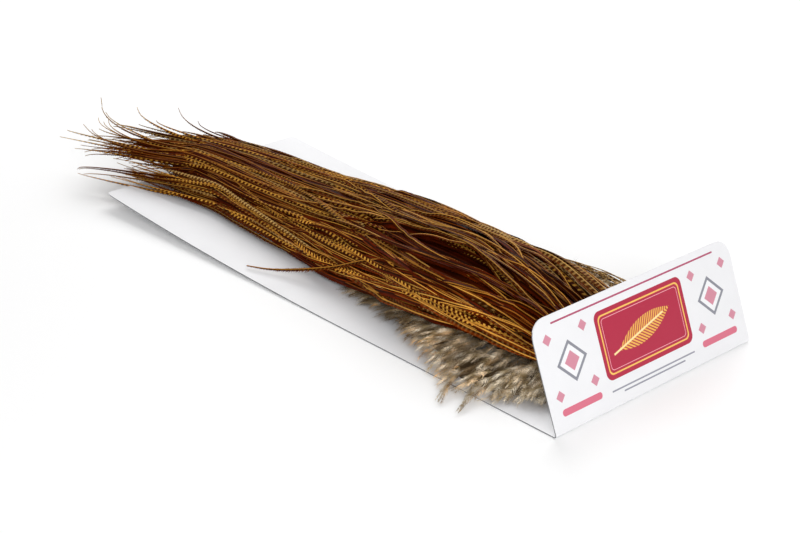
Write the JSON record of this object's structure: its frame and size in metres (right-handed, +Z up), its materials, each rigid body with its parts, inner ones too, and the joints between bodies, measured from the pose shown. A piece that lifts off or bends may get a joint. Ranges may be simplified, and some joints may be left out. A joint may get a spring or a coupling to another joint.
{
  "type": "rooster saddle patch on display card",
  "caption": "Sheaf of long barred rooster saddle hackles with soft flank fluff, lying on a white display card with a folded header flap.",
  "frame": {"origin": "underside of the card, at the middle of the flat stretch that it rests on, 65 mm from the fold", "axes": "+Y along the card from the header flap to the hackle tips, +X to the right of someone facing the flap, +Z up"},
  "size_m": [0.1404, 0.3894, 0.0458],
  "materials": {
    "card": "smooth coated white card with a satin sheen",
    "hackle": "glossy barred feathers, golden brown to dark brown",
    "fluff": "soft dull grey and tan down"
  },
  "bodies": {
    "root": {"display_card": "card", "saddle_hackles": "hackle", "flank_fluff_left": "fluff", "flank_fluff_right": "fluff"}
  },
  "joints": []
}
